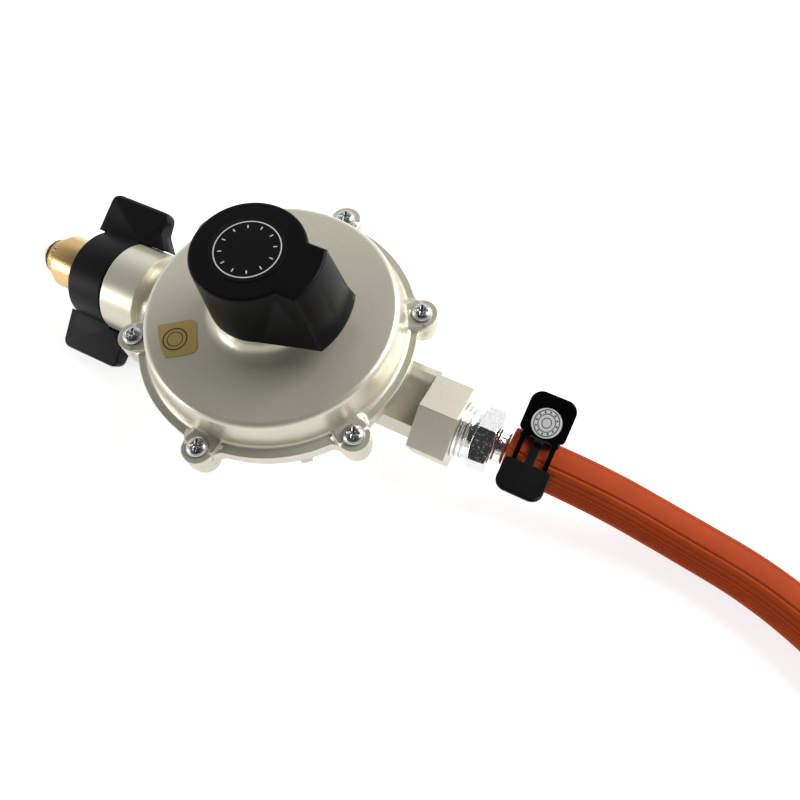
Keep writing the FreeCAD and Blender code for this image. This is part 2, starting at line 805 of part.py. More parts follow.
def make_grip():
    # Hub moulded on the stud, with two wings for the fingers
    hub = turned_x([
        (grip_front, stud_flange_r + body_hole_gap), (grip_front, grip_hub_r),
        (grip_back + 2.0, grip_hub_r), (grip_back, grip_hub_r - 2.0),
        (grip_back, hub_bore_r + body_hole_gap), (grip_front - stud_flange_t, hub_bore_r + body_hole_gap),
        (grip_front - stud_flange_t, stud_flange_r + body_hole_gap),
    ])
    for turn in (wing_angle, wing_angle + 180):
        wing = make_wing()
        wing.rotate(Vector(0, 0, 0), AXIS_X, turn)
        wing.translate(Vector(0, 0, axis_height))
        wing = wing.cut(rod_x(inlet_boss_r + wing_clearance, grip_front, wing_front + 20))
        wing = wing.cut(rod_x(grip_hub_r - 1.0, grip_back, grip_front))
        wing = wing.cut(rod_x(grip_hub_r - 0.5, wing_back - 1, grip_back))
        hub = hub.fuse(wing)
    return hub.removeSplitter()


def make_snap_ring():
    start = grip_back - snap_ring_t - sliding_gap
    ring = turned_x([
        (start, snap_groove_r + body_hole_gap), (start + snap_ring_t, snap_groove_r + body_hole_gap),
        (start + snap_ring_t, stud_r + snap_ring_width), (start, stud_r + snap_ring_width),
    ])
    gap = block(start - 1, start + snap_ring_t + 1, -snap_ring_gap / 2, snap_ring_gap / 2,
                axis_height, axis_height + 30)
    return ring.cut(gap)


def make_hose_nipple():
    # Threaded end, cut as plain ridges
    outline = [(nipple_inner, nipple_bore_r), (nipple_inner, outlet_thread_r - thread_depth)]
    x = nipple_inner
    while x + thread_pitch < thread_end - 0.4:
        outline += [(x + 0.6 * thread_pitch, outlet_thread_r), (x + 0.8 * thread_pitch, outlet_thread_r)]
        outline += [(x + thread_pitch, outlet_thread_r - thread_depth)]
        x += thread_pitch
    outline += [(thread_end + 0.5, outlet_thread_r - thread_depth)]
    outline += [(thread_end + 0.5, nipple_neck_r + 2.0), (nipple_hex_end, nipple_neck_r + 2.0)]
    outline += [(nipple_hex_end + 0.8, nipple_neck_r), (hose_start - 0.6, nipple_neck_r)]
    outline += [(hose_start - 0.6, barb_root_r)]
    for k in range(barb_count):
        start = barb_start + k * barb_pitch
        outline += [(start, barb_root_r), (start, barb_r), (start + 0.8, barb_r)]
    outline += [(barb_end, barb_root_r), (barb_end, nipple_bore_r)]
    nipple = turned_x(outline)
    hexagon = hex_x(nipple_flats, thread_end, nipple_hex_end, hex_turn + 30)
    corner = nipple_flats / math.sqrt(3)
    chamfer = turned_x([
        (thread_end, 0), (thread_end, nipple_flats / 2 - 0.1), (thread_end + 1.0, corner),
        (nipple_hex_end - 1.0, corner), (nipple_hex_end, nipple_flats / 2 - 0.1), (nipple_hex_end, 0),
    ])
    hexagon = hexagon.common(chamfer).cut(rod_x(nipple_bore_r, thread_end - 1, nipple_hex_end + 1))
    return nipple.fuse(hexagon).removeSplitter()


def make_nipple_seal():
    return turned_x([
        (nipple_inner - seal_t + sliding_gap, outlet_bore_r + 0.4),
        (nipple_inner - sliding_gap, outlet_bore_r + 0.4),
        (nipple_inner - sliding_gap, outlet_thread_r - 0.1),
        (nipple_inner - seal_t + sliding_gap, outlet_thread_r - 0.1),
    ])


def unit(v):
    return v * (1.0 / v.Length)


def route_edges(points):
    """Straight runs joined by arcs as large as the shorter run beside each point allows."""
    edges = []
    radii = []
    last = points[0]
    for before, here, after in zip(points, points[1:], points[2:]):
        one, two = unit(here - before), unit(after - here)
        turn = math.acos(max(-1.0, min(1.0, one.dot(two))))
        short = min((here - before).Length, (after - here).Length)
        setback = hose_bend_share * short
        radius = setback / math.tan(turn / 2)
        radii.append(radius)
        start, end = here - one * setback, here + two * setback
        middle_way = unit(two - one)
        middle = here + middle_way * (radius / math.cos(turn / 2) - radius)
        edges.append(Part.LineSegment(last, start).toShape())
        edges.append(Part.Arc(start, middle, end).toShape())
        last = end
    edges.append(Part.LineSegment(last, points[-1]).toShape())
    return edges, radii


def hose_route():
    """Corners of the hose's path, the first two along the nipple's axis."""
    first = [(hose_start, 0.0, axis_height), (hose_start + hose_first_run, 0.0, axis_height)]
    return [Vector(*p) for p in first + hose_points]


def coil_edges(start, heading, length):
    """Flat winding to the left, one half turn at a time, with a straight end."""
    edges = []
    here, angle = start, heading
    tail_straight = 2 * hose_r
    tail = math.radians(coil_tail_turn) * coil_tail_r + tail_straight
    turns = [(coil_r, math.pi), (coil_r - coil_pitch / 2, math.pi)]
    wound = sum(r * sweep for r, sweep in turns)
    inner = coil_r - coil_pitch
    turns.append((inner, (length - wound - tail) / inner))
    turns.append((coil_tail_r, math.radians(coil_tail_turn)))
    for radius, sweep in turns:
        centre = here + Vector(-math.sin(angle), math.cos(angle), 0) * radius

        def on_arc(share):
            a = angle + sweep * share
            return centre + Vector(math.sin(a), -math.cos(a), 0) * radius

        edges.append(Part.Arc(on_arc(0), on_arc(0.5), on_arc(1)).toShape())
        here, angle = on_arc(1), angle + sweep
    way = Vector(math.cos(angle), math.sin(angle), 0)
    edges.append(Part.LineSegment(here, here + way * tail_straight).toShape())
    return edges, here + way * tail_straight, way, turns[2][1]


def tube(edges, radius, start, way):
    ring = Part.Wire([Part.Circle(start, way, radius).toShape()])
    return Part.Wire(edges).makePipeShell([ring], True, False)


def least_gap(edges, step=4.0):
    """Least distance between the walls of the winding's neighbouring turns."""
    points = []
    run = 0.0
    for edge in edges:
        count = max(2, int(edge.Length / step))
        for p in edge.discretize(Number=count):
            points.append((run, p))
            run += edge.Length / count
    gaps = [
        (a - b).Length - 2 * hose_r
        for i, (s, a) in enumerate(points) for t, b in points[i + 1:]
        if t - s > 6 * hose_r
    ]
    return min(gaps)


def make_hose():
    points = hose_route()
    edges, radii = route_edges(points)
    start_way = unit(points[1] - points[0])
    outer = tube(edges, hose_r, points[0], start_way)
    bore = tube(edges, hose_bore_r, points[0], start_way)
    length = sum(e.Length for e in edges)
    hose = outer.cut(bore)
    section = math.pi * (hose_r ** 2 - hose_bore_r ** 2)
    print("hose bend radii", [round(r, 1) for r in radii], "stretch", round(length, 1),
          "volume ratio", round(hose.Volume / (section * length), 5))
    hose = hose.cut(rod_x(barb_r + barb_clearance, hose_start - 1, barb_end + 1.0))
    return hose, length


def make_hose_coil(free_length):
    points = hose_route()
    way = unit(points[-1] - points[-2])
    heading = math.atan2(way.y, way.x)
    edges, end, end_way, last_sweep = coil_edges(points[-1], heading, hose_length - free_length)
    length = sum(e.Length for e in edges)
    coil = tube(edges, hose_r, points[-1], way).cut(tube(edges, hose_bore_r, points[-1], way))
    section = math.pi * (hose_r ** 2 - hose_bore_r ** 2)
    print("coil length", round(length, 1), "volume ratio", round(coil.Volume / (section * length), 5),
          "least gap", round(least_gap(edges), 2), "third turn", round(math.degrees(last_sweep), 1))
    print("hose end", [round(v, 3) for v in end], "way", [round(v, 5) for v in end_way])
    return coil


def clip_strip(tip):
    """Side view of one clip half: round the hose from the hinge, then across to its pad."""
    inner = hose_r + clip_fit
    middle = inner + clip_t / 2
    a0 = math.radians(-90 + math.degrees(clip_hinge_gap / middle))
    a1 = math.radians(clip_cross_angle)
    rim = []
    for radius in (inner, inner + clip_t):
        points = [Vector(0, radius * math.cos(a), radius * math.sin(a)) for a in (a0, (a0 + a1) / 2, a1)]
        rim.append(points)
    way = Vector(0, -math.sin(a1), math.cos(a1))
    reach = (middle * math.cos(a1) + tip) / math.sin(a1)
    edges = [
        Part.Arc(*rim[0]).toShape(),
        Part.LineSegment(rim[0][2], rim[0][2] + way * reach).toShape(),
        Part.LineSegment(rim[0][2] + way * reach, rim[1][2] + way * reach).toShape(),
        Part.LineSegment(rim[1][2] + way * reach, rim[1][2]).toShape(),
        Part.Arc(*reversed(rim[1])).toShape(),
        Part.LineSegment(rim[1][0], rim[0][0]).toShape(),
    ]
    return Part.Face(Part.Wire(edges))


def clip_outline(half, tip):
    """Plan of a clip half, across the hose from its pad at -w to the ring side at +w."""
    if half == "tongue":
        neck = tongue_width / 2
        neck_end = near_root
    else:
        neck = clip_width / 2 - clip_side_clear
        neck_end = pad_root
    pad = pad_width / 2
    pad_plate = block(-pad, pad, -tip - cut_past, -neck_end, 0, clip_plate_height)
    pad_plate = pad_plate.makeFillet(clip_root_r, [e for e in upright_edges(pad_plate, clip_plate_height)
                                                   if e.CenterOfMass.y > -neck_end - 1])
    neck_plate = block(-neck, neck, -neck_end - 1, window_out + clip_side_clear, 0, clip_plate_height)
    ring_plate = block(-clip_width / 2, clip_width / 2, window_out, tip, 0, clip_plate_height)
    low_plate = block(-clip_width / 2, clip_width / 2, -tip, tip, -clip_plate_height, 0)
    outline = pad_plate.fuse(neck_plate).fuse(ring_plate).fuse(low_plate)
    if half == "window":
        window = block(-window_width / 2, window_width / 2, -window_out, window_in, 0, clip_plate_height)
        window = window.makeFillet(window_corner, upright_edges(window, clip_plate_height))
        outline = outline.cut(window)
    return outline


def make_clip_half(half):
    tip = near_tip if half == "tongue" else clip_tip
    strip = clip_strip(tip).extrude(Vector(pad_width, 0, 0))
    strip.translate(Vector(-pad_width / 2, 0, 0))
    strip = strip.common(clip_outline(half, tip))
    corners = [
        e for e in strip.Edges
        if abs(e.Length - clip_t) < 0.05 and e.CenterOfMass.y < -tip + 1.5
    ]
    strip = strip.makeFillet(pad_corner, corners)
    return place_clip(strip, half)


def place_clip(shape, half):
    if half == "window":
        shape = shape.mirror(Vector(0, 0, 0), Vector(0, 1, 0))
    shape.rotate(Vector(0, 0, 0), AXIS_X, clip_lean)
    shape.translate(Vector(clip_x, 0, axis_height))
    return shape


def make_clip_label():
    # Round sticker on the far pad
    middle = hose_r + clip_fit + clip_t
    a1 = math.radians(clip_cross_angle)
    label = Part.makeCylinder(clip_label_r, label_t, Vector(0, 0, 0), AXIS_Z)
    label.rotate(Vector(0, 0, 0), AXIS_X, -math.degrees(math.pi / 2 - a1))
    along = (middle * math.cos(a1) + clip_label_along) / math.sin(a1)
    label.translate(Vector(0, middle * math.cos(a1) - along * math.sin(a1),
                           middle * math.sin(a1) + along * math.cos(a1)))
    return place_clip(label, "window")


def main():
    os.makedirs("parts", exist_ok=True)
    save("lower_body", make_lower_body())
    save("upper_cover", make_upper_cover())
    for k, (x, y) in enumerate(screw_places()):
        save("cover_screw_%d" % (k + 1), make_cover_screw(x, y))
    save("diaphragm", make_diaphragm())
    save("diaphragm_plate", make_diaphragm_plate())
    save("diaphragm_stem", make_diaphragm_stem())
    save("relief_spring", spring(relief_spring_r, relief_wire, plate_top + sliding_gap,
                                 plate_top + relief_length, relief_turns))
    save("relief_nut", make_relief_nut())
    save("main_spring", spring(spring_r, spring_wire, plate_top + sliding_gap, seat_z - sliding_gap,
                               spring_turns))
    save("spring_seat", make_spring_seat())
    save("spring_adjuster", make_spring_adjuster())
    save("vent_cap", make_vent_cap())
    save("cap_label", make_cap_label())
    save("cover_label", make_cover_label())
    save("lever", make_lever())
    save("lever_pin", make_lever_pin())
    save("valve_plug", make_valve_plug())
    save("valve_disc", rod_x(disc_r, disc_start, disc_start + disc_t))
    save("inlet_nozzle", make_inlet_nozzle())
    save("inlet_filter", make_inlet_filter())
    save("inlet_spud", make_inlet_spud())
    save("nose_seal", make_nose_seal())
    save("stud_nut", make_stud_nut())
    save("grip", make_grip())
    save("snap_ring", make_snap_ring())
    save("hose_nipple", make_hose_nipple())
    save("nipple_seal", make_nipple_seal())
    hose, free_length = make_hose()
    save("hose", hose)
    save("hose_coil", make_hose_coil(free_length))
    save("clip_near", make_clip_half("tongue"))
    save("clip_far", make_clip_half("window"))
    save("clip_label", make_clip_label())


main()
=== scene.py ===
# Low-pressure gas regulator with its hose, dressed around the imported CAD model.
# Metres, Z up: the spring axis is Z, the back pad lies on Z = 0 and the hose leaves towards +X.

import math

import bmesh
import bpy
import numpy as np
from mathutils import Matrix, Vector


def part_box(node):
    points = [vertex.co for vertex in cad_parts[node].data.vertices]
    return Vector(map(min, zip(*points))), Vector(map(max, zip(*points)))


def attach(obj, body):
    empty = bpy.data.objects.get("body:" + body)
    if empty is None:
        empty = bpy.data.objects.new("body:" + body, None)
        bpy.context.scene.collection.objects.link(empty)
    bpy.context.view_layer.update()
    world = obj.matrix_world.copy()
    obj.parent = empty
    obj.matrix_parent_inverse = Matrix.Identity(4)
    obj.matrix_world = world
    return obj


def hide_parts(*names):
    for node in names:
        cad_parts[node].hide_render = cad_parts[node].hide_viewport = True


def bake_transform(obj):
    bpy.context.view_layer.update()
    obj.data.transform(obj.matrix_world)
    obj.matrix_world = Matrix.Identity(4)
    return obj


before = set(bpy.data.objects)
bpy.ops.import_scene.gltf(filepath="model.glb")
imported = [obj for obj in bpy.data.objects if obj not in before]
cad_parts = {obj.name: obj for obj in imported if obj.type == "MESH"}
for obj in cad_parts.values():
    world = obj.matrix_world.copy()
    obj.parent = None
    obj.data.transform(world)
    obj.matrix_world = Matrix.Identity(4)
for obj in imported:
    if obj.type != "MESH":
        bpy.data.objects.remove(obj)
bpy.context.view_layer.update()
MM = 0.001


# Table and studio
# The regulator lies on a plain white table under soft light. The table keeps the
# object's shadow and is near white where nothing shades it.

def node_tree(name):
    """A new material's node tree, empty but for its output, with short ways to add and join nodes."""
    mat = bpy.data.materials.new(name)
    mat.use_nodes = True
    tree = mat.node_tree
    tree.nodes.clear()
    out = tree.nodes.new("ShaderNodeOutputMaterial")

    def add(kind, **values):
        node = tree.nodes.new("ShaderNode" + kind)
        for key, value in values.items():
            if key in node.inputs:
                node.inputs[key].default_value = value
            else:
                setattr(node, key, value)
        return node

    def join(source, socket, node, target):
        tree.links.new(source.outputs[socket], node.inputs[target])

    return mat, out, add, join


table_half = 2.5
table_tone = (0.78, 0.78, 0.775, 1)
glow_level = 0.71
table_mat, table_out, add, join = node_tree("table_white")
table_diffuse = add("BsdfDiffuse", Color=table_tone)
table_glow = add("Emission", Color=(1, 1, 1, 1))
path = add("LightPath")
glow = add("Math", operation="MULTIPLY")
glow.inputs[1].default_value = glow_level
seen = add("Math", operation="ADD")
join(path, "Is Camera Ray", seen, 0)
join(path, "Is Glossy Ray", seen, 1)
join(seen, 0, glow, 0)
join(glow, 0, table_glow, "Strength")
both = add("AddShader")
join(table_diffuse, 0, both, 0)
join(table_glow, 0, both, 1)
join(both, 0, table_out, "Surface")
table_mesh = bpy.data.meshes.new("table")
corners = [(x * table_half, y * table_half, 0) for x, y in ((-1, -1), (1, -1), (1, 1), (-1, 1))]
table_mesh.from_pydata(corners, [], [(0, 1, 2, 3)])
table_mesh.materials.append(table_mat)
table = bpy.data.objects.new("table", table_mesh)
bpy.context.scene.collection.objects.link(table)

world = bpy.data.worlds.new("studio")
world.use_nodes = True
bpy.context.scene.world = world
sky_tree = world.node_tree
sky_tree.nodes.clear()
direction = sky_tree.nodes.new("ShaderNodeTexCoord")
sky_axes = sky_tree.nodes.new("ShaderNodeSeparateXYZ")
background = sky_tree.nodes.new("ShaderNodeBackground")
world_out = sky_tree.nodes.new("ShaderNodeOutputWorld")
ray = sky_tree.nodes.new("ShaderNodeLightPath")
sky_tree.links.new(direction.outputs["Generated"], sky_axes.inputs[0])


def world_math(operation, *values):
    """One step of the sky's formula. A value is a number or another step's output."""
    node = sky_tree.nodes.new("ShaderNodeMath")
    node.operation = operation
    for k, value in enumerate(values):
        if isinstance(value, float):
            node.inputs[k].default_value = value
        else:
            sky_tree.links.new(value, node.inputs[k])
    return node.outputs[0]


def world_range(value, low, high, start, stop):
    """Smooth step from one level to another while the value goes from low to high."""
    node = sky_tree.nodes.new("ShaderNodeMapRange")
    node.interpolation_type = "SMOOTHSTEP"
    sky_tree.links.new(value, node.inputs["Value"])
    for name, number in (("From Min", low), ("From Max", high), ("To Min", start), ("To Max", stop)):
        node.inputs[name].default_value = number
    return node.outputs[0]


# The sky is bright near the horizon and dark overhead. Away from the viewer the bright part
# reaches higher than on the viewer's side, where it is bright at the left only.
sky_base, sky_level = 0.03, 0.97
toward_viewer = world_math("ADD", world_math("MULTIPLY", sky_axes.outputs["X"], 0.35),
                           world_math("MULTIPLY", sky_axes.outputs["Y"], -0.94))
near_share = world_range(toward_viewer, -0.30, 0.35, 0.0, 1.0)
far_band = world_range(sky_axes.outputs["Z"], 0.45, 0.93, 1.0, 0.04)
near_band = world_range(sky_axes.outputs["Z"], 0.36, 0.54, 0.95, 0.02)
left_side = world_range(sky_axes.outputs["X"], -0.75, -0.15, 1.0, 0.72)
near_light = world_math("MULTIPLY", world_math("MULTIPLY", near_band, left_side), near_share)
far_light = world_math("MULTIPLY", far_band, world_math("SUBTRACT", 1.0, near_share))
sky = world_math("MULTIPLY_ADD", world_math("ADD", near_light, far_light), sky_level, sky_base)

# The camera itself sees plain white instead of the sky
shown = sky_tree.nodes.new("ShaderNodeMix")
sky_tree.links.new(ray.outputs["Is Camera Ray"], shown.inputs["Factor"])
sky_tree.links.new(sky, shown.inputs[2])
shown.inputs[3].default_value = 1.0
background.inputs["Color"].default_value = (1.0, 1.0, 1.0, 1)
sky_tree.links.new(shown.outputs[0], background.inputs["Strength"])
sky_tree.links.new(background.outputs[0], world_out.inputs["Surface"])


def soft_box(name, place, aim, size, power):
    """A square lamp at a place, turned to face a point."""
    lamp = bpy.data.lights.new(name, "AREA")
    lamp.size = size
    lamp.energy = power
    obj = bpy.data.objects.new(name, lamp)
    back = np.array(place, float) - np.array(aim, float)
    back /= np.linalg.norm(back)
    side = np.cross((0.0, 0.0, 1.0), back)
    side /= np.linalg.norm(side)
    up = np.cross(back, side)
    obj.matrix_world = Matrix(np.vstack([np.column_stack([side, up, back, place]), [0, 0, 0, 1]]).tolist())
    bpy.context.scene.collection.objects.link(obj)
    return obj


soft_box("key_box", (0.85, 1.02, 1.03), (0.0, 0.0, 0.03), 1.10, 28.0)
soft_box("low_box", (-0.90, -0.76, 0.40), (0.0, 0.0, 0.03), 0.40, 4.0)
bpy.context.scene.view_settings.view_transform = "Standard"

# Camera
# The photograph looks down from the outlet side, 65 degrees above the table and rolled a little.
view_turn, view_rise, view_roll = np.radians([32.2, 64.7, -6.4])
view_place = np.array([106.86, -93.25, 254.64]) * MM
sensor_width, lens_length, nearest_seen = 36.0, 31.5, 0.01
level_share = np.cos(view_rise)
view_back = np.array([np.sin(view_turn) * level_share, -np.cos(view_turn) * level_share, np.sin(view_rise)])
view_side = np.cross((0.0, 0.0, 1.0), view_back)
view_side /= np.linalg.norm(view_side)
view_up = np.cross(view_back, view_side)
rolled_side = view_side * np.cos(view_roll) + view_up * np.sin(view_roll)
rolled_up = -view_side * np.sin(view_roll) + view_up * np.cos(view_roll)
camera_data = bpy.data.cameras.new("camera")
camera_data.sensor_width = sensor_width
camera_data.lens = lens_length
camera_data.clip_start = nearest_seen
camera = bpy.data.objects.new("camera", camera_data)
rows = np.vstack([np.column_stack([rolled_side, rolled_up, view_back, view_place]), [0, 0, 0, 1]])
camera.matrix_world = Matrix(rows.tolist())
bpy.context.scene.collection.objects.link(camera)
bpy.context.scene.camera = camera

# Cast body
# The bowl, with its inlet barrel, hexagonal outlet boss and back pad, is a zinc die casting
# in cream metallic enamel. The cover screws close it over the diaphragm.

axis_z = 18.8
soft_edge = 0.55
sharp_angle = 32.0


def merge_doubles(mesh, distance=1e-6):
    """Join the corners that two faces of a CAD mesh keep apart at one place."""
    bm = bmesh.new()
    bm.from_mesh(mesh)
    bmesh.ops.remove_doubles(bm, verts=bm.verts, dist=distance)
    bm.to_mesh(mesh)
    bm.free()


def smooth_copy(node, name, body=None, sharp=sharp_angle):
    """A copy of a CAD node with its doubles merged and smooth normals between sharp edges. It rides
    on a body, where one is named."""
    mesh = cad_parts[node].data.copy()
    mesh.name = name
    mesh.materials.clear()
    obj = bpy.data.objects.new(name, mesh)
    bpy.context.scene.collection.objects.link(obj)
    merge_doubles(mesh)
    mesh.polygons.foreach_set("use_smooth", np.ones(len(mesh.polygons), bool))
    mesh.set_sharp_from_angle(angle=math.radians(sharp))
    weighted = obj.modifiers.new("weighted", "WEIGHTED_NORMAL")
    weighted.keep_sharp = True
    weighted.mode = "FACE_AREA_WITH_ANGLE"
    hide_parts(node)
    if body:
        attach(obj, body)
    return obj


def tone_ramp(add, dark, light, low=0.0, high=1.0):
    """A colour that goes from dark to light while its factor goes from low to high."""
    tone = add("ValToRGB")
    for element, place, colour in zip(tone.color_ramp.elements, (low, high), (dark, light)):
        element.position = place
        element.color = (*colour, 1)
    return tone


def stretched(add, start, stop):
    """A noise's 0 to 1 stretched to go from one value to another."""
    node = add("MapRange")
    node.inputs["To Min"].default_value = start
    node.inputs["To Max"].default_value = stop
    return node


def round_edges(add, join, bump, edge):
    """A bump's base normal turned smoothly over edges, within a radius in millimetres."""
    rounded = add("Bevel", samples=6)
    rounded.inputs["Radius"].default_value = edge * MM
    join(rounded, 0, bump, "Normal")


def enamel(name, colour, metallic, roughness, edge):
    """Metallic enamel: fine flake in the tone, a light orange peel and rounded casting edges."""
    mat, out, add, join = node_tree(name)
    shader = add("BsdfPrincipled", Metallic=metallic)
    shader.inputs["Coat Weight"].default_value = 0.25
    shader.inputs["Coat Roughness"].default_value = 0.12
    place = add("TexCoord")
    flake = add("TexNoise", Scale=2600.0, Detail=2.0)
    tone = tone_ramp(add, [0.93 * c for c in colour], [1.05 * c for c in colour], 0.35, 0.65)
    cloud = add("TexNoise", Scale=45.0, Detail=3.0)
    gloss = stretched(add, roughness - 0.04, roughness + 0.05)
    peel = add("TexNoise", Scale=700.0, Detail=2.0)
    bump = add("Bump", Strength=0.12, Distance=0.00005)
    for node in (flake, cloud, peel):
        join(place, "Object", node, "Vector")
    join(flake, 0, tone, "Fac")
    join(tone, 0, shader, "Base Color")
    join(cloud, 0, gloss, "Value")
    join(gloss, 0, shader, "Roughness")
    join(peel, 0, bump, "Height")
    round_edges(add, join, bump, edge)
    join(bump, 0, shader, "Normal")
    join(shader, 0, out, "Surface")
    return mat


def true_barrel(obj, radii, start, end):
    """A corner of the mesh on a barrel about the hose axis gets that barrel's own normal, which
    points straight away from the axis: the corner's place less its foot on the axis, over the radius."""
    mesh = bpy.data.meshes.new_from_object(obj.evaluated_get(bpy.context.evaluated_depsgraph_get()))
    count = len(mesh.loops)
    corner = np.empty(count, np.int32)
    mesh.loops.foreach_get("vertex_index", corner)
    place = np.empty(len(mesh.vertices) * 3)
    mesh.vertices.foreach_get("co", place)
    place = place.reshape(-1, 3)[corner] / MM
    normal = np.empty(count * 3, np.float32)
    mesh.corner_normals.foreach_get("vector", normal)
    normal = normal.reshape(-1, 3)
    facing = np.empty(len(mesh.polygons) * 3, np.float32)
    mesh.polygons.foreach_get("normal", facing)
    facing = np.repeat(facing.reshape(-1, 3), 3, axis=0)
    away = np.column_stack([np.zeros(count), place[:, 1], place[:, 2] - axis_z])
    reach = np.linalg.norm(away, axis=1)
    away /= np.maximum(reach, 1e-9)[:, None]
    least_facing, radius_slack, start_slack = 0.985, 0.02, 0.1
    along = (place[:, 0] > start - start_slack) & (place[:, 0] < end)
    along &= np.einsum("ij,ij->i", facing, away) > least_facing
    for radius in radii:
        on = along & (np.abs(reach - radius) < radius_slack)
        normal[on] = away[on]
    mesh.normals_split_custom_set(normal.tolist())
    obj.modifiers.clear()
    obj.data = mesh


cream = (0.66, 0.63, 0.51)
body_enamel = enamel("cream_enamel", cream, 0.62, 0.34, soft_edge)
inlet_barrels, inlet_from, inlet_to = (18.5, 15.5), -75.0, -20.0
lower = smooth_copy("lower_body", "cast_bowl", "body", 22.0)
true_barrel(lower, inlet_barrels, inlet_from, inlet_to)
lower.data.materials.append(body_enamel)

# Cover
# The cover is the upper casting: a flange with six screw ears, a low crown, and the neck
# and bonnet that hold the spring. It has the same enamel as the bowl.

cover = smooth_copy("upper_cover", "spring_cover", "body")
cover.data.materials.append(body_enamel)

# Cover screws
# Six zinc plated pan-head screws with a cross recess clamp the cover to the bowl.


def metal(name, colour, roughness, grain, edge=0.15, stretch=(1, 1, 1), pitting=0.2, depth=0.03,
          pits=(0.0, 1.0)):
    """Bare metal with a fine machined or plated grain and slightly broken edges. The grain's height
    rises only while its noise goes from the first to the second value of pits."""
    mat, out, add, join = node_tree(name)
    shader = add("BsdfPrincipled", Metallic=1.0)
    place = add("TexCoord")
    turn = add("Mapping")
    turn.inputs["Scale"].default_value = stretch
    noise = add("TexNoise", Scale=grain, Detail=4.0)
    height = add("MapRange")
    height.inputs["From Min"].default_value = pits[0]
    height.inputs["From Max"].default_value = pits[1]
    gloss = stretched(add, roughness * 0.7, roughness * 1.4)
    tone = tone_ramp(add, [0.82 * c for c in colour], colour, 0.3, 0.7)
    bump = add("Bump", Strength=pitting, Distance=depth * MM)
    join(place, "Object", turn, "Vector")
    join(turn, 0, noise, "Vector")
    join(noise, 0, gloss, "Value")
    join(gloss, 0, shader, "Roughness")
    join(noise, 0, tone, "Fac")
    join(tone, 0, shader, "Base Color")
    join(noise, 0, height, "Value")
    join(height, 0, bump, "Height")
    round_edges(add, join, bump, edge)
    join(bump, 0, shader, "Normal")
    join(shader, 0, out, "Surface")
    return mat


screw_zinc = metal("zinc_plate", (0.56, 0.56, 0.57), 0.24, 900.0, 0.2, pitting=0.35)
for k in range(1, 7):
    screw = smooth_copy("cover_screw_%d" % k, "pan_head_%d" % k, "body")
    screw.data.materials.append(screw_zinc)

# Vent cap
# A push-on cap of black moulded plastic keeps rain out of the spring bonnet. Its hood
# flares to one side and breathes through the mouth underneath.


def plastic(name, colour, roughness, edge, grain=900.0, depth=0.35, gleam=0.13):
    """Moulded plastic: a fine spark-eroded texture, an uneven sheen and rounded edges."""
    mat, out, add, join = node_tree(name)
    shader = add("BsdfPrincipled")
    shader.inputs["Specular IOR Level"].default_value = gleam
    place = add("TexCoord")
    fine = add("TexNoise", Scale=grain, Detail=3.0)
    cloud = add("TexNoise", Scale=60.0, Detail=3.0)
    gloss = stretched(add, roughness - 0.06, roughness + 0.08)
    tone = tone_ramp(add, [0.75 * c for c in colour], [1.3 * c for c in colour])
    bump = add("Bump", Strength=depth, Distance=0.00004)
    for node in (fine, cloud):
        join(place, "Object", node, "Vector")
    join(cloud, 0, gloss, "Value")
    join(gloss, 0, shader, "Roughness")
    join(cloud, 0, tone, "Fac")
    join(tone, 0, shader, "Base Color")
    join(fine, 0, bump, "Height")
    round_edges(add, join, bump, edge)
    join(bump, 0, shader, "Normal")
    join(shader, 0, out, "Surface")
    return mat


vent_cap = smooth_copy("vent_cap", "hooded_cap", "cap")
cap_black = plastic("black_cap_plastic", (0.0028, 0.0031, 0.0033), 0.33, 0.7, gleam=0.09)
vent_cap.data.materials.append(cap_black)

# Cap label
# A round black film with a thin white ring is stuck on top of the cap. Inside the ring it has
# twelve plain tick marks, like an empty dial.

ink_edge = 0.06


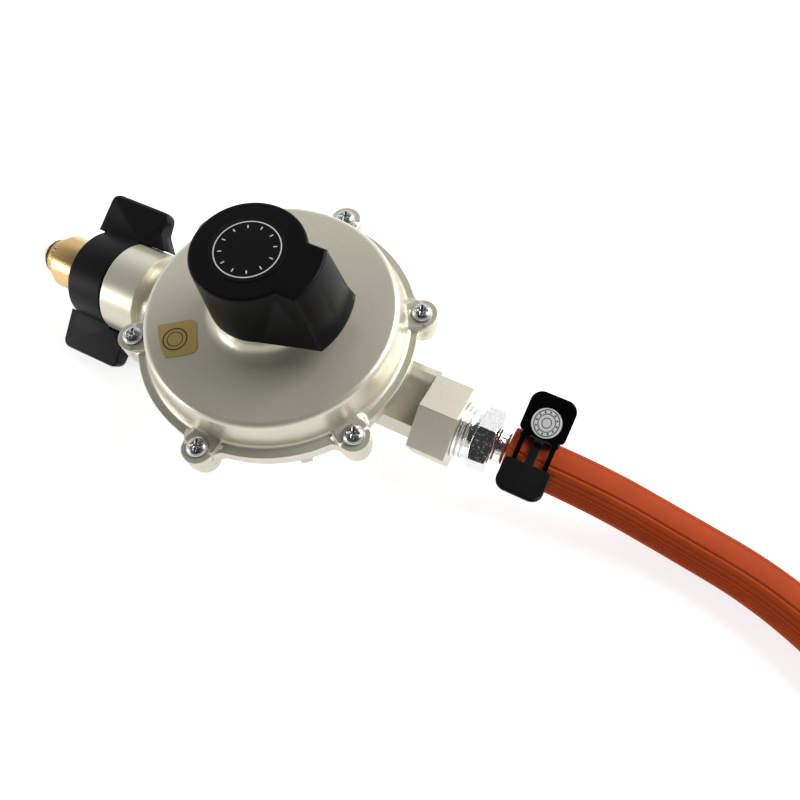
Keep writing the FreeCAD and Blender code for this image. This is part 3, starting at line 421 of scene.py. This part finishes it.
def printed_film(name, ground, ink, centre, rings, roughness, metallic=0.0, gleam=0.5, ticks=None):
    """Film printed with rings: ink lies where the distance from the centre is within half a line of a
    ring's radius. Ticks, given as (count, inner, outer, width), lie where the angle round the centre
    is near a whole share of the turn and the distance is between inner and outer."""
    mat, out, add, join = node_tree(name)
    shader = add("BsdfPrincipled", Roughness=roughness, Metallic=metallic)
    shader.inputs["Specular IOR Level"].default_value = gleam
    place = add("TexCoord")
    shift = add("Mapping")
    shift.inputs["Location"].default_value = tuple(-c * MM for c in centre)
    parts = add("SeparateXYZ")
    join(place, "Object", shift, "Vector")
    join(shift, 0, parts, 0)

    def step(operation, *values):
        """One step of the formula. A value is a number or another step."""
        node = add("Math", operation=operation)
        for k, value in enumerate(values):
            if isinstance(value, float):
                node.inputs[k].default_value = value
            else:
                join(value, 0, node, k)
        return node

    def axis(socket):
        """The place along one axis, as a step with nothing added."""
        node = add("Math", operation="ADD")
        join(parts, socket, node, 0)
        node.inputs[1].default_value = 0.0
        return node

    def band(value, width):
        """1 where a value is within half a width of zero, fading to 0 over the ink's soft edge."""
        node = stretched(add, 1.0, 0.0)
        node.inputs["From Min"].default_value = (0.5 * width - ink_edge) * MM
        node.inputs["From Max"].default_value = (0.5 * width + ink_edge) * MM
        join(step("ABSOLUTE", value), 0, node, "Value")
        return node

    x, y = axis("X"), axis("Y")
    away = step("SQRT", step("ADD", step("MULTIPLY", x, x), step("MULTIPLY", y, y)))
    printed = None
    for radius, width in rings:
        ring = band(step("SUBTRACT", away, radius * MM), width)
        printed = ring if printed is None else step("MAXIMUM", printed, ring)
    if ticks:
        count, inner, outer, width = ticks
        turn = step("MULTIPLY", step("ARCTAN2", y, x), count / (2 * math.pi))
        share = step("SUBTRACT", step("FRACT", step("ADD", turn, 0.5)), 0.5)
        off = step("MULTIPLY", share, 2 * math.pi / count)
        line = band(step("MULTIPLY", off, away), width)
        reach = band(step("SUBTRACT", away, 0.5 * (inner + outer) * MM), outer - inner)
        printed = step("MAXIMUM", printed, step("MULTIPLY", line, reach))
    mix = add("Mix", data_type="RGBA")
    mix.inputs["A"].default_value = (*ground, 1)
    mix.inputs["B"].default_value = (*ink, 1)
    join(printed, 0, mix, "Factor")
    scuff = add("TexNoise", Scale=420.0, Detail=4.0)
    bump = add("Bump", Strength=0.2, Distance=0.00003)
    join(place, "Object", scuff, "Vector")
    join(scuff, 0, bump, "Height")
    join(bump, 0, shader, "Normal")
    mat.node_tree.links.new(mix.outputs["Result"], shader.inputs["Base Color"])
    join(shader, 0, out, "Surface")
    return mat


label_ring_r, label_ring_width = 10.4, 0.34
label_ticks = (12.0, 7.9, 9.1, 0.36)
cap_label = smooth_copy("cap_label", "cap_film", "cap")
cap_label.data.materials.append(
    printed_film("black_film", (0.004, 0.004, 0.0045), (0.60, 0.60, 0.59), (0, 0, 0),
                 [(label_ring_r, label_ring_width)], 0.32, gleam=0.12, ticks=label_ticks))

# Cover sticker
# A small gold film with rounded corners marks the cover beside the neck. It carries plain rings only.

sticker_centre = (-23.0, -24.6, 0)
sticker = smooth_copy("cover_label", "gold_sticker", "body", 12.0)
sticker.data.materials.append(
    printed_film("gold_film", (0.55, 0.40, 0.13), (0.05, 0.04, 0.02), sticker_centre,
                 [(4.1, 0.5), (2.7, 0.35)], 0.34, metallic=0.45))

# Inlet union
# The brass spud ends in a nose with a rubber ring. A brass union stud turns on it, and a
# black grip with two wings is moulded round the stud and held by a steel snap ring.

brass = metal("turned_brass", (0.72, 0.50, 0.22), 0.25, 500.0, 0.2, (0.2, 6, 6))
for node, name, rider in (("inlet_spud", "union_nose", "body"), ("stud_nut", "union_stud", "coupling"),
                          ("inlet_nozzle", "orifice", "body"), ("valve_plug", "plug", "valve"),
                          ("relief_nut", "relief_hex", "stem"), ("inlet_filter", "filter_cup", "body")):
    piece = smooth_copy(node, name, rider)
    piece.data.materials.append(brass)
grip_black = plastic("black_grip_plastic", (0.006, 0.0065, 0.0065), 0.42, 1.0, 700.0, 0.5, gleam=0.10)
grip = smooth_copy("grip", "winged_grip", "coupling")
grip.data.materials.append(grip_black)

# Rubber seals and discs
# Nitrile rubber: the diaphragm, the nose ring, the thread seal and the valve's disc.


def rubber(name, colour, roughness, grain=600.0):
    """Moulded rubber: matt, with a faint mottled tone and a soft grain."""
    mat, out, add, join = node_tree(name)
    shader = add("BsdfPrincipled", Roughness=roughness)
    place = add("TexCoord")
    fine = add("TexNoise", Scale=grain, Detail=3.0)
    tone = tone_ramp(add, [0.7 * c for c in colour], [1.2 * c for c in colour], 0.3, 0.7)
    bump = add("Bump", Strength=0.3, Distance=0.00005)
    join(place, "Object", fine, "Vector")
    join(fine, 0, tone, "Fac")
    join(tone, 0, shader, "Base Color")
    join(fine, 0, bump, "Height")
    join(bump, 0, shader, "Normal")
    join(shader, 0, out, "Surface")
    return mat


black_rubber = rubber("black_rubber", (0.02, 0.02, 0.02), 0.6)
for node, name, rider in (("diaphragm", "membrane", "body"), ("nose_seal", "nose_ring", "body"),
                          ("nipple_seal", "thread_seal", "body"), ("valve_disc", "valve_pad", "valve")):
    piece = smooth_copy(node, name, rider)
    piece.data.materials.append(black_rubber)

# Lever, relief spring and spring seat
# Pressed and drawn steel inside the body: the lever on its pin, the plate that backs the
# diaphragm, the relief spring, the seat, the snap ring, and the alloy stem and adjuster.

steel = metal("bright_steel", (0.60, 0.60, 0.61), 0.3, 700.0)
alloy = metal("turned_alloy", (0.78, 0.78, 0.79), 0.28, 600.0)
inside = (
    ("lever", "valve_lever", "lever_arm", "plate_steel", steel),
    ("lever_pin", "pivot_pin", "body", "spring_steel", steel),
    ("diaphragm_plate", "backing_plate", "stem", "plate_steel", steel),
    ("relief_spring", "relief_coil", "stem", "spring_steel", steel),
    ("spring_seat", "coil_seat", "seat", "plate_steel", steel),
    ("snap_ring", "split_ring", "coupling", "spring_steel", steel),
    ("diaphragm_stem", "stem_rod", "stem", "stem_alloy", alloy),
    ("spring_adjuster", "screw_adjuster", "adjuster", "stem_alloy", alloy),
)
for node, name, rider, slot_name, finish in inside:
    piece = smooth_copy(node, name, rider)
    piece.data.materials.append(finish)

# Main spring
# The coil stands between the seat and the backing plate. It is cut at half its height into a lower
# part and an upper part, each closed at the cut.


def cut_level(mesh, height, keep_above):
    """Cut a mesh at a height, keep one side and close the cut."""
    bm = bmesh.new()
    bm.from_mesh(mesh)
    everything = bm.verts[:] + bm.edges[:] + bm.faces[:]
    bmesh.ops.bisect_plane(bm, geom=everything, plane_co=(0, 0, height), plane_no=(0, 0, 1),
                           clear_inner=keep_above, clear_outer=not keep_above)
    bmesh.ops.holes_fill(bm, edges=[edge for edge in bm.edges if edge.is_boundary])
    bmesh.ops.triangulate(bm, faces=[face for face in bm.faces if len(face.verts) > 4])
    bm.to_mesh(mesh)
    bm.free()
    mesh.set_sharp_from_angle(angle=math.radians(sharp_angle))


end_turn = 2.4 * MM
coil_foot, coil_top = (corner[2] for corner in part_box("main_spring"))
coil_middle = 0.5 * (coil_foot + coil_top)
for name, bodies, low, high in (("main_coil_low", ("stem", "body"), coil_foot + end_turn, coil_middle),
                                ("main_coil_high", ("body", "seat"), coil_middle, coil_top - end_turn)):
    half_coil = smooth_copy("main_spring", name)
    cut_level(half_coil.data, coil_middle, keep_above=bodies[0] == "body")
    half_coil.data.materials.append(steel)
    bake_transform(half_coil)

# Hose nipple
# A chromed nipple screws into the outlet boss. It has a chamfered hexagon for the spanner
# and a barbed end that the hose is pushed over.

chrome = metal("chrome_plate", (0.93, 0.93, 0.935), 0.07, 1100.0, 0.35, pitting=0.5, depth=0.05,
               pits=(0.57, 0.68))
nipple = smooth_copy("hose_nipple", "hex_nipple", "body", 25.0)
nipple.data.materials.append(chrome)

# Hose
# Orange rubber gas hose, 17.5 mm outside and 9.5 mm bore, with a flat band along its top and
# fine ribs beside it. One metre of it runs over the barbs, down to the table and into a loose coil.

hose_r, hose_bore, hose_length = 8.75, 4.75, 1000.0

# Control points of the free stretch, then each coil stretch's radius and sweep in degrees
hose_points = [
    (91.3, 0.0, 18.8), (121.5, 0.0, 18.8), (153.5, 0.0, 8.75), (190.0, -5.0, 8.75),
    (226.0, -20.0, 8.75), (254.0, -39.6, 8.75),
]
coil_turns = [(98.0, 180.0), (88.8, 180.0), (79.6, 106.0), (72.0, 60.0)]
coil_step = 12.0
coil_end = 17.5


def coil_points(start, heading, turns, step, end):
    """Control points of a flat winding to the left. Each stretch has one radius and is divided
    into equal steps, and a point stands where two tangents meet, so it lies outside the hose."""
    here, angle = np.array(start[:2], float), heading
    points = []
    for radius, sweep in turns:
        count = max(2, int(round(sweep / step)))
        part = math.radians(sweep) / count
        centre = here + radius * np.array([-math.sin(angle), math.cos(angle)])
        k = np.arange(count) + 0.5
        a = angle + part * k
        reach = radius / math.cos(part / 2)
        points.append(np.stack([centre[0] + reach * np.sin(a), centre[1] - reach * np.cos(a)], -1))
        angle += math.radians(sweep)
        here = centre + radius * np.array([math.sin(angle), -math.cos(angle)])
    last = here + end * np.array([math.cos(angle), math.sin(angle)])
    points = np.vstack(points + [last[None]])
    return np.column_stack([points, np.full(len(points), start[2])])


last_step = np.subtract(hose_points[-1], hose_points[-2])
heading = math.atan2(last_step[1], last_step[0])
route = np.vstack([hose_points[:-1], coil_points(hose_points[-1], heading, coil_turns, coil_step, coil_end)])
curve = bpy.data.curves.new("hose_line", "CURVE")
curve.dimensions = "3D"
curve.resolution_u = 10
spline = curve.splines.new("NURBS")
spline.points.add(len(route) - 1)
spline.points.foreach_set("co", np.column_stack([route * MM, np.ones(len(route))]).ravel())
spline.order_u = 3
spline.use_endpoint_u = True
line_object = bpy.data.objects.new("hose_line", curve)
line_mesh = bpy.data.meshes.new_from_object(line_object)
line = np.empty(len(line_mesh.vertices) * 3)
line_mesh.vertices.foreach_get("co", line)
line = line.reshape(-1, 3) / MM
bpy.data.objects.remove(line_object)
bpy.data.meshes.remove(line_mesh)


def grid_faces(rows, columns):
    """Quads of a grid that closes round its columns, row by row."""
    i = np.arange(rows - 1)[:, None] * columns
    j = np.arange(columns)[None, :]
    k = (j + 1) % columns
    return np.stack([i + j, i + k, i + columns + k, i + columns + j], -1).reshape(-1, 4)


def solid_of_rings(name, rings):
    """Mesh of rings of equal count, its two ends closed by a fan to their middle points."""
    rows, columns = rings.shape[:2]
    points = np.vstack([rings.reshape(-1, 3), rings[0].mean(0), rings[-1].mean(0)])
    j = np.arange(columns)
    k = (j + 1) % columns
    base = (rows - 1) * columns
    count = rows * columns
    faces = grid_faces(rows, columns).tolist()
    faces += np.stack([k, j, np.full(columns, count)], -1).tolist()
    faces += np.stack([base + j, base + k, np.full(columns, count + 1)], -1).tolist()
    mesh = bpy.data.meshes.new(name)
    mesh.from_pydata((points * MM).tolist(), [], faces)
    mesh.polygons.foreach_set("use_smooth", np.ones(len(mesh.polygons), bool))
    mesh.update()
    obj = bpy.data.objects.new(name, mesh)
    bpy.context.scene.collection.objects.link(obj)
    return obj


def tube_frames(points):
    """Tangent at each point, a level normal to it, and the upward normal square to both."""
    ahead = np.gradient(points, axis=0)
    ahead /= np.linalg.norm(ahead, axis=1)[:, None]
    level = np.cross((0.0, 0.0, 1.0), ahead)
    level /= np.linalg.norm(level, axis=1)[:, None]
    up = np.cross(ahead, level)
    return ahead, level, up


# Places round the section are in degrees, depths and radii in millimetres
band_middle, band_half, band_flatness = 11.0, 29.5, 0.45
band_groove, band_groove_half = 0.55, 4.2
rib_places = (47.5, 58.0, 68.0, 76.0, 84.0, 92.0)
rib_depth, rib_half = 0.34, 3.0
socket_r, socket_depth = 6.0, 26.0
bore_depth, end_round, start_round, rim_back = 14.0, 0.3, 0.4, 0.5


def hose_section(degrees):
    """Radius round the hose at an angle from its top: a nearly flat band, a deep groove at each
    edge of the band, and small grooves past them, each a V of its own depth and half width."""
    away = np.abs(degrees - band_middle)
    chord = hose_r * math.cos(math.radians(band_half)) / np.cos(np.radians(np.minimum(away, band_half)))
    flat = band_flatness * chord + (1 - band_flatness) * hose_r
    radius = np.where(away < band_half, flat, hose_r)
    grooves = [(band_half, band_groove, band_groove_half)]
    grooves += [(place, rib_depth, rib_half) for place in rib_places]
    for place, depth, half in grooves:
        radius = radius - depth * np.clip(1 - np.abs(away - place) / half, 0, 1)
    return radius


ribbed_from, ribbed_to, fine_step, plain_step = -86.0, 108.0, 1.3, 6.0
around = np.concatenate([np.arange(-180.0, ribbed_from, plain_step),
                         np.arange(ribbed_from, ribbed_to, fine_step),
                         np.arange(ribbed_to, 180.0, plain_step)])
ring_r = hose_section(around)
around = np.radians(around)
ahead, level, up = tube_frames(line)


def rings_at(index, radius):
    """Ring of points round the line at one of its points. The angle runs from the top, positive to
    the left."""
    base, side, top = line[index], level[index], up[index]
    return base + radius[:, None] * (np.sin(around)[:, None] * side + np.cos(around)[:, None] * top)


outer = line[:, None, :] + ring_r[None, :, None] * (
    np.sin(around)[None, :, None] * level[:, None, :] + np.cos(around)[None, :, None] * up[:, None, :])
bore_r = np.full(around.shape, hose_bore)
wide_bore = np.full(around.shape, socket_r)
start_face = [rings_at(0, wide_bore) + ahead[0] * socket_depth,
              rings_at(0, wide_bore) + ahead[0] * start_round,
              rings_at(0, wide_bore + start_round), rings_at(0, ring_r - rim_back)]
end_face = [rings_at(-1, ring_r - end_round), rings_at(-1, bore_r + end_round),
            rings_at(-1, bore_r) - ahead[-1] * start_round, rings_at(-1, bore_r) - ahead[-1] * bore_depth]
first = rings_at(0, ring_r) + ahead[0] * start_round
last = rings_at(-1, ring_r) - ahead[-1] * end_round
rings = np.concatenate([np.array(start_face), first[None], outer[1:-1], last[None], np.array(end_face)])
hose = solid_of_rings("gas_hose", rings[:, ::-1])


def hose_rubber_mat():
    """Orange rubber: a faintly blotched tone, tiny pits, and a dull sheen that varies with the blotches."""
    mat, out, add, join = node_tree("orange_rubber")
    shader = add("BsdfPrincipled", Roughness=0.6)
    shader.inputs["Specular IOR Level"].default_value = 0.08
    place = add("TexCoord")
    blotch = add("TexNoise", Scale=120.0, Detail=5.0)
    pits = add("TexNoise", Scale=1500.0, Detail=3.0)
    tone = tone_ramp(add, (0.36, 0.050, 0.010), (0.42, 0.060, 0.013), 0.3, 0.75)
    gloss = stretched(add, 0.55, 0.72)
    bump = add("Bump", Strength=0.35, Distance=0.00008)
    for node in (blotch, pits):
        join(place, "Object", node, "Vector")
    join(blotch, 0, tone, "Fac")
    join(tone, 0, shader, "Base Color")
    join(blotch, 0, gloss, "Value")
    join(gloss, 0, shader, "Roughness")
    join(pits, 0, bump, "Height")
    join(bump, 0, shader, "Normal")
    join(shader, 0, out, "Surface")
    return mat


hose.data.materials.append(hose_rubber_mat())
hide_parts("hose", "hose_coil")
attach(hose, "body")

# Hose clip
# A spring clip bent from one steel strip in glossy black paint. The tongue of one half crosses
# the window of the other, and a round silver sticker is on the far pad.


def gloss_paint(name, colour, roughness, edge):
    """Stoved black paint: smooth, with a faint ripple and rounded edges."""
    mat, out, add, join = node_tree(name)
    shader = add("BsdfPrincipled", Roughness=roughness)
    shader.inputs["Base Color"].default_value = (*colour, 1)
    shader.inputs["Specular IOR Level"].default_value = 0.12
    place = add("TexCoord")
    ripple = add("TexNoise", Scale=350.0, Detail=3.0)
    gloss = stretched(add, roughness - 0.05, roughness + 0.1)
    bump = add("Bump", Strength=0.25, Distance=0.00005)
    join(place, "Object", ripple, "Vector")
    join(ripple, 0, gloss, "Value")
    join(gloss, 0, shader, "Roughness")
    join(ripple, 0, bump, "Height")
    round_edges(add, join, bump, edge)
    join(bump, 0, shader, "Normal")
    join(shader, 0, out, "Surface")
    return mat


clip_black = gloss_paint("black_stove_paint", (0.002, 0.0022, 0.0025), 0.14, 0.5)
for node, name, rider in (("clip_near", "tongue_half", "clip_near_half"),
                          ("clip_far", "window_half", "clip_far_half")):
    piece = smooth_copy(node, name, rider)
    piece.data.materials.append(clip_black)
clip_film = smooth_copy("clip_label", "silver_dot", "clip_far_half")
film_low, film_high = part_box("clip_label")
film_centre = [0.5 * (a + b) / MM for a, b in zip(film_low, film_high)]
clip_film.data.materials.append(
    printed_film("silver_film", (0.80, 0.80, 0.80), (0.03, 0.03, 0.032), film_centre,
                 [(4.25, 0.34), (2.9, 0.3), (1.6, 0.3)], 0.35, metallic=0.15, ticks=(12.0, 3.2, 3.9, 0.5)))
